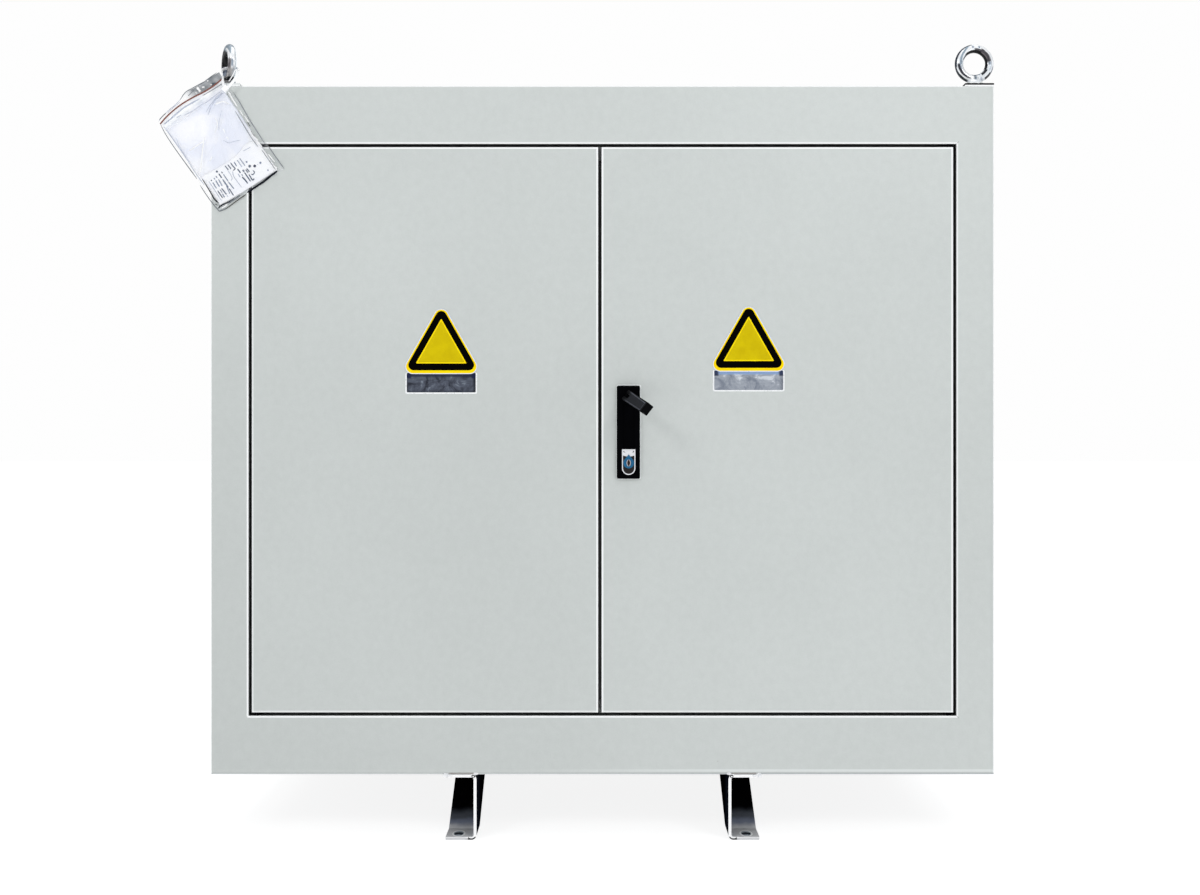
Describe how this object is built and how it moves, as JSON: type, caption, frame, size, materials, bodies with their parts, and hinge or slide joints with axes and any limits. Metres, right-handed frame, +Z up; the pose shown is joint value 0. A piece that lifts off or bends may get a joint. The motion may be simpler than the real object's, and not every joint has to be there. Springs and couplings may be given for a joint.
{
  "type": "enclosed transformer",
  "caption": "Dry-type power transformer in a light grey steel housing with double doors, swing handle, lifting eyes and bracket feet.",
  "frame": {"origin": "on the floor, at the centre of the four anchor holes in the feet", "axes": "+X to the right seen from the door side, +Y from the doors to the rear cover, +Z up, out of the anchor holes"},
  "size_m": [1.2921, 0.7999, 1.2244],
  "materials": {
    "cabinet_paint": "light grey powder coat, fine orange peel",
    "foot_zinc": "bright zinc plate",
    "polished_zinc": "polished zinc",
    "zinc_screw": "zinc plated",
    "bright_steel": "bright drawn steel",
    "black_rubber": "black rubber",
    "nylon": "white nylon",
    "black_handle": "black textured coat",
    "lever_plastic": "charcoal satin",
    "lock_chrome": "bright chrome",
    "lock_blue": "blue moulding",
    "lock_brass": "machined brass",
    "sign_print": "yellow and black print on metal",
    "clear_film": "clear film",
    "paper": "white paper",
    "frame_steel": "dark grey coat",
    "core_steel": "laminated steel, varnished",
    "coil_resin": "cast resin, red-brown",
    "lv_insulation": "varnished insulation",
    "glass_board": "glass laminate",
    "copper": "bare copper",
    "insulator_red": "red moulded insulator"
  },
  "bodies": {
    "housing": {"front_frame": "cabinet_paint", "centre_post": "cabinet_paint", "side_panel_left": "cabinet_paint", "side_panel_right": "cabinet_paint", "roof_panel": "cabinet_paint", "floor_plate": "cabinet_paint", "rear_cover": "cabinet_paint", "gland_plate": "cabinet_paint", "foot_front_left": "foot_zinc", "foot_front_right": "foot_zinc", "foot_rear_left": "foot_zinc", "foot_rear_right": "foot_zinc", "front_eye_bolts": "polished_zinc", "rear_eye_bolts": "polished_zinc", "panel_screws": "zinc_screw", "hex_nuts": "zinc_screw", "busbar_bolts": "zinc_screw", "tie_rods": "zinc_screw", "eye_bolt_pads": "black_rubber", "core_pads": "black_rubber", "cable_grommets": "black_rubber", "cable_tie": "nylon", "hinge_washers": "black_handle", "earth_stud": "lock_brass", "document_bag": "clear_film", "leaflet": "paper", "base_rails": "frame_steel", "lower_yoke_clamps": "frame_steel", "upper_yoke_clamps": "frame_steel", "busbar_rail": "frame_steel", "core": "core_steel", "high_voltage_winding_1": "coil_resin", "high_voltage_winding_2": "coil_resin", "high_voltage_winding_3": "coil_resin", "low_voltage_windings": "lv_insulation", "winding_spacers": "glass_board", "low_voltage_busbars": "copper", "neutral_bar": "copper", "delta_links": "copper", "post_insulators": "insulator_red"},
    "left_leaf": {"left_door": "cabinet_paint", "left_door_gasket": "black_rubber", "left_hinge_pins": "bright_steel", "left_sign_plate": "sign_print"},
    "right_leaf": {"right_door": "cabinet_paint", "right_door_gasket": "black_rubber", "right_hinge_pins": "bright_steel", "right_sign_plate": "sign_print", "handle_base": "black_handle", "lock_bezel": "lock_chrome", "lock_ring": "lock_blue"},
    "swing_handle": {"handle_boss": "black_handle", "latch_cam": "bright_steel"},
    "lever_arm": {"lever": "lever_plastic", "lever_pin": "bright_steel"},
    "key_core": {"lock_core": "lock_brass"},
    "upper_rod": {"upper_latch_rod": "bright_steel"},
    "lower_rod": {"lower_latch_rod": "bright_steel"},
    "upper_bolt": {"left_upper_bolt": "bright_steel"},
    "lower_bolt": {"left_lower_bolt": "bright_steel"}
  },
  "joints": [
    {"name": "left_door_swing", "type": "hinge", "parent": "housing", "child": "left_leaf", "pos_m": [-0.531, -0.343, 0.62825], "axis": [0, 0, -1], "range_deg": [0, 105], "deforming": ["document_bag", "leaflet"]},
    {"name": "right_door_swing", "type": "hinge", "parent": "housing", "child": "right_leaf", "pos_m": [0.531, -0.343, 0.62825], "axis": [0, 0, 1], "range_deg": [0, 105]},
    {"name": "handle_turn", "type": "hinge", "parent": "right_leaf", "child": "swing_handle", "pos_m": [0.039, -0.35, 0.6784], "axis": [0, 1, 0], "range_deg": [-38, 52]},
    {"name": "lever_lift", "type": "hinge", "parent": "swing_handle", "child": "lever_arm", "pos_m": [0.039, -0.3643, 0.6784], "axis": [0.6157, 0, 0.788], "range_deg": [0, 65]},
    {"name": "key_turn", "type": "hinge", "parent": "right_leaf", "child": "key_core", "pos_m": [0.04, -0.35, 0.5775], "axis": [0, 1, 0], "range_deg": [0, 90]},
    {"name": "upper_rod_slide", "type": "slide", "parent": "right_leaf", "child": "upper_rod", "axis": [0, 0, 1], "range_m": [-0.0051, 0.007]},
    {"name": "lower_rod_slide", "type": "slide", "parent": "right_leaf", "child": "lower_rod", "axis": [0, 0, 1], "range_m": [-0.007, 0.0051]},
    {"name": "upper_bolt_slide", "type": "slide", "parent": "left_leaf", "child": "upper_bolt", "axis": [0, 0, 1], "range_m": [0, 0.012]},
    {"name": "lower_bolt_slide", "type": "slide", "parent": "left_leaf", "child": "lower_bolt", "axis": [0, 0, -1], "range_m": [0, 0.012]}
  ],
  "couplings": [
    {"joint": "upper_rod_slide", "follows": "handle_turn", "m_per_rad": 0.00765},
    {"joint": "lower_rod_slide", "follows": "handle_turn", "m_per_rad": -0.00765}
  ]
}
